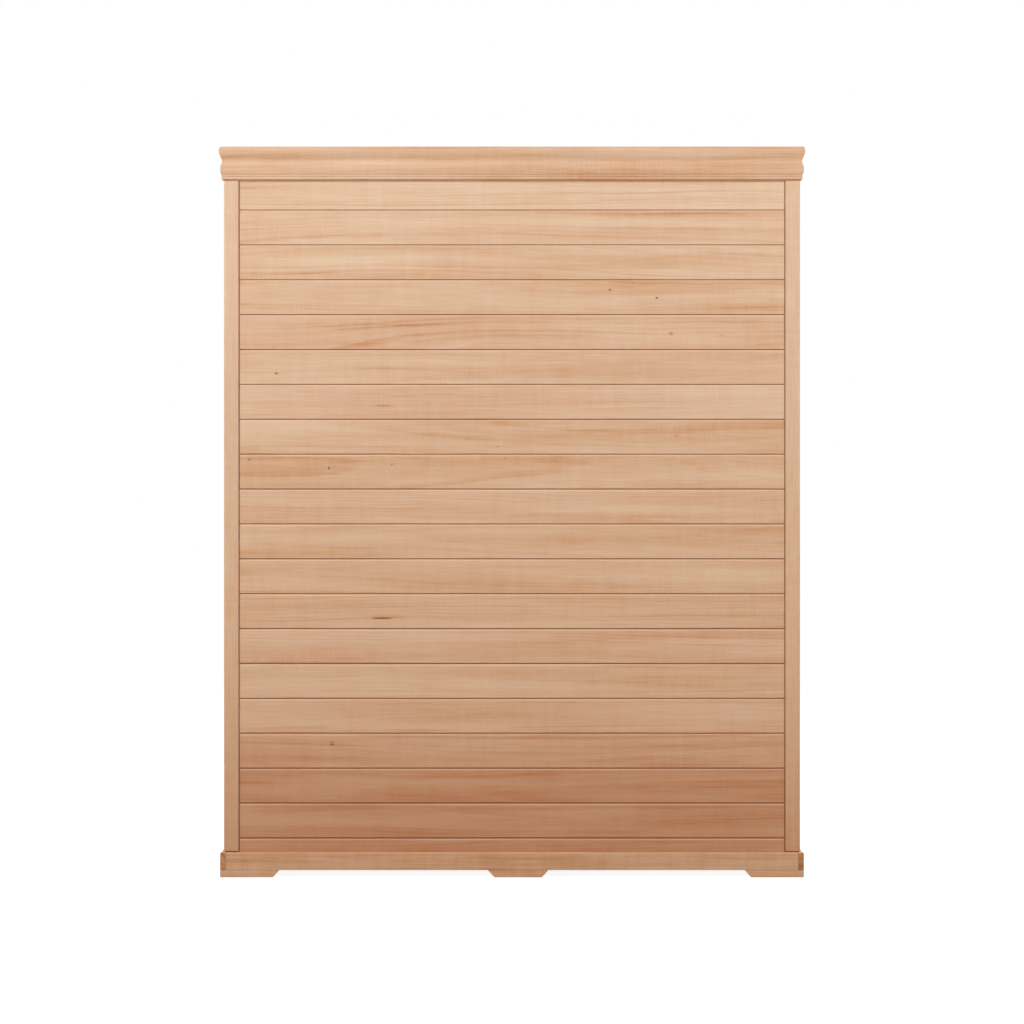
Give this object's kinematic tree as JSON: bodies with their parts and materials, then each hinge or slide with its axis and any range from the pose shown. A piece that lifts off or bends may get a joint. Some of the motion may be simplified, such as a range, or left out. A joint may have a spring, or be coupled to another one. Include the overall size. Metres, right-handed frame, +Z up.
{
  "type": "infrared sauna cabin",
  "caption": "Free-standing timber infrared sauna cabin: boarded wall panels on a plinth under a moulded cornice, with a glass door, slatted bench and heating panels.",
  "frame": {"origin": "on the ground, in the middle of the footprint over the cornice and the outside door handle", "axes": "+Z up, -Y out through the door, +Y out of the boarded back, +X to the right when facing the door"},
  "size_m": [1.5238, 1.138, 1.9],
  "materials": {
    "hemlock": "planed pale hemlock, clear satin, fine straight grain",
    "hemlock_plinth": "planed hemlock, warmer and darker, satin",
    "hemlock_grip": "turned and sanded hemlock on steel standoffs",
    "softwood": "sawn softwood and plywood, unfinished",
    "tinted_glass": "toughened glass with a light grey tint, polished edges",
    "brushed_steel": "satin brushed stainless steel",
    "carbon_panel": "matt black woven carbon heating panel",
    "black_plastic": "fine textured black moulding",
    "button_plastic": "silver-grey satin moulding",
    "opal_lens": "opal white diffuser",
    "painted_steel": "light grey powder coat"
  },
  "bodies": {
    "cabin": {"back_frame": "hemlock", "back_cladding": "hemlock", "back_lining": "hemlock", "left_frame": "hemlock", "left_cladding": "hemlock", "left_lining": "hemlock", "right_frame": "hemlock", "right_cladding": "hemlock", "right_lining": "hemlock", "crown_back": "hemlock", "crown_front": "hemlock", "crown_left": "hemlock", "crown_right": "hemlock", "front_stile_left": "hemlock", "front_stile_right": "hemlock", "front_header": "hemlock", "front_sill": "hemlock", "door_jamb_hinge": "hemlock", "door_jamb_latch": "hemlock", "floor_boards": "hemlock", "ceiling_boards": "hemlock", "backrest_guard": "hemlock", "bench_top": "hemlock", "bench_apron": "hemlock", "bench_ledger": "hemlock", "plinth_back": "hemlock_plinth", "plinth_front": "hemlock_plinth", "plinth_left": "hemlock_plinth", "plinth_right": "hemlock_plinth", "foot_back_left": "hemlock_plinth", "foot_back_right": "hemlock_plinth", "foot_back_centre": "hemlock_plinth", "foot_front_left": "hemlock_plinth", "foot_front_right": "hemlock_plinth", "foot_front_centre": "hemlock_plinth", "floor_frame": "softwood", "roof_frame": "softwood", "roof_cover": "softwood", "window_left": "tinted_glass", "window_right": "tinted_glass", "hinge_upper_plate": "brushed_steel", "hinge_lower_plate": "brushed_steel", "back_heater_left": "carbon_panel", "back_heater_right": "carbon_panel", "left_heater": "carbon_panel", "right_heater": "carbon_panel", "bench_heater": "carbon_panel", "control_panel": "black_plastic", "door_catch": "black_plastic", "ceiling_light": "opal_lens", "power_unit": "painted_steel"},
    "door": {"door_glass": "tinted_glass", "hinge_upper_clamp": "brushed_steel", "hinge_lower_clamp": "brushed_steel", "door_handle_outside": "hemlock_grip", "door_handle_inside": "hemlock_grip"},
    "vent": {"vent_slide": "hemlock"},
    "power_key": {"power_button": "button_plastic"},
    "heat_up_key": {"heat_up_button": "button_plastic"},
    "heat_down_key": {"heat_down_button": "button_plastic"}
  },
  "joints": [
    {"name": "door_swing", "type": "hinge", "parent": "cabin", "child": "door", "pos_m": [-0.316, -0.52696, 0.92], "axis": [0, 0, -1], "range_deg": [0, 110]},
    {"name": "vent_travel", "type": "slide", "parent": "cabin", "child": "vent", "axis": [1, 0, 0], "range_m": [0, 0.115]},
    {"name": "power_press", "type": "slide", "parent": "cabin", "child": "power_key", "axis": [1, 0, 0], "range_m": [0, 0.0012], "stiffness_N_per_m": 1500, "springref_m": -0.0006},
    {"name": "heat_up_press", "type": "slide", "parent": "cabin", "child": "heat_up_key", "axis": [1, 0, 0], "range_m": [0, 0.0012], "stiffness_N_per_m": 1500, "springref_m": -0.0006},
    {"name": "heat_down_press", "type": "slide", "parent": "cabin", "child": "heat_down_key", "axis": [1, 0, 0], "range_m": [0, 0.0012], "stiffness_N_per_m": 1500, "springref_m": -0.0006}
  ]
}
